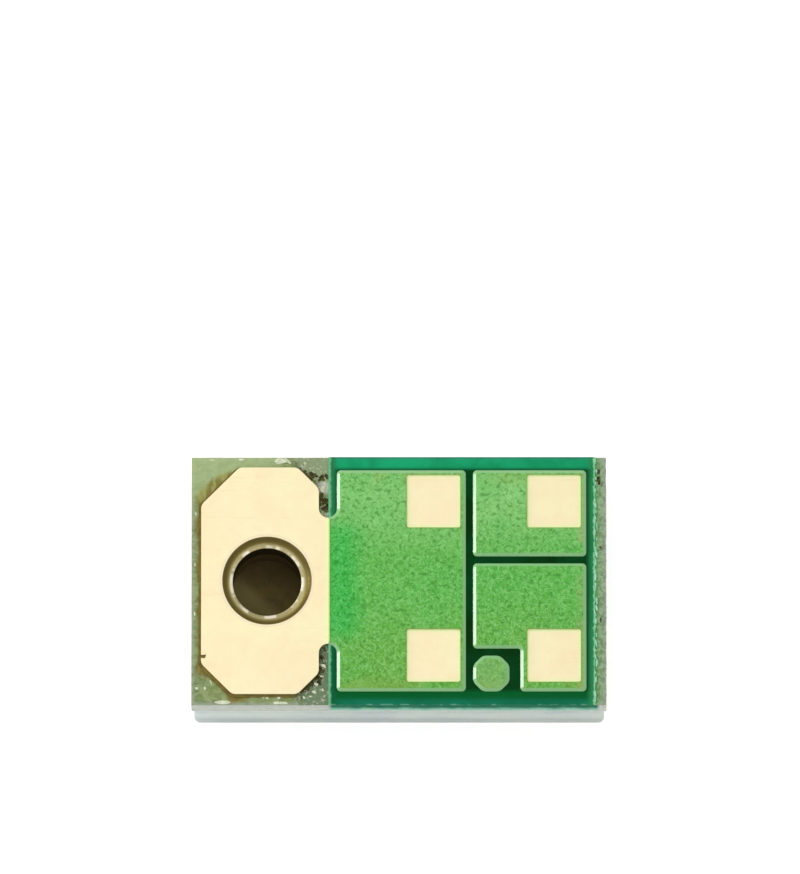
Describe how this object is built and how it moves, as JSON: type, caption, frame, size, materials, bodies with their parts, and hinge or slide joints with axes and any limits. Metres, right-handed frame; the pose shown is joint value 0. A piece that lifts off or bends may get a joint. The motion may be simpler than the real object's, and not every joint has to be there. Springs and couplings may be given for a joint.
{
  "type": "surface-mount microphone",
  "caption": "Rectangular bottom-port microphone: a drawn metal lid under a small circuit board with gold solder lands, green solder mask and a plated sound port.",
  "frame": {"origin": "middle of the lid's flat outer face, which the part lies on", "axes": "+Z from the lid up through the board, out of the solder side; +X along the board, away from the sound port; +Y across it, towards the output pad"},
  "size_m": [0.0038, 0.0022, 0.0011],
  "materials": {
    "lid_metal": "satin",
    "solder": "satin",
    "laminate": "matte",
    "port_plating": "satin",
    "outer_copper": "satin",
    "solder_mask": "gloss",
    "gold_finish": "satin",
    "inner_copper": "satin",
    "die_adhesive": "matte",
    "silicon": "satin",
    "polysilicon": "satin",
    "oxide": "gloss",
    "bond_gold": "polished",
    "encapsulant": "satin"
  },
  "bodies": {
    "root": {"lid_can": "lid_metal", "lid_seam": "solder", "board_core": "laminate", "barrel_plating": "port_plating", "ground_plane": "outer_copper", "output_land": "outer_copper", "supply_land": "outer_copper", "test_land": "outer_copper", "solder_mask": "solder_mask", "port_land_finish": "gold_finish", "ground_pad_upper": "gold_finish", "ground_pad_lower": "gold_finish", "output_pad": "gold_finish", "supply_pad": "gold_finish", "inner_ground": "inner_copper", "bond_islands": "gold_finish", "inner_mask": "solder_mask", "ground_vias": "inner_copper", "signal_vias": "inner_copper", "sensor_adhesive": "die_adhesive", "sensor_frame": "silicon", "diaphragm": "polysilicon", "oxide_spacer": "oxide", "backplate": "polysilicon", "sensor_pads": "bond_gold", "amplifier_adhesive": "die_adhesive", "amplifier_die": "silicon", "amplifier_pads": "bond_gold", "sensor_wires": "bond_gold", "board_wires": "bond_gold", "encapsulant": "encapsulant"}
  },
  "joints": []
}
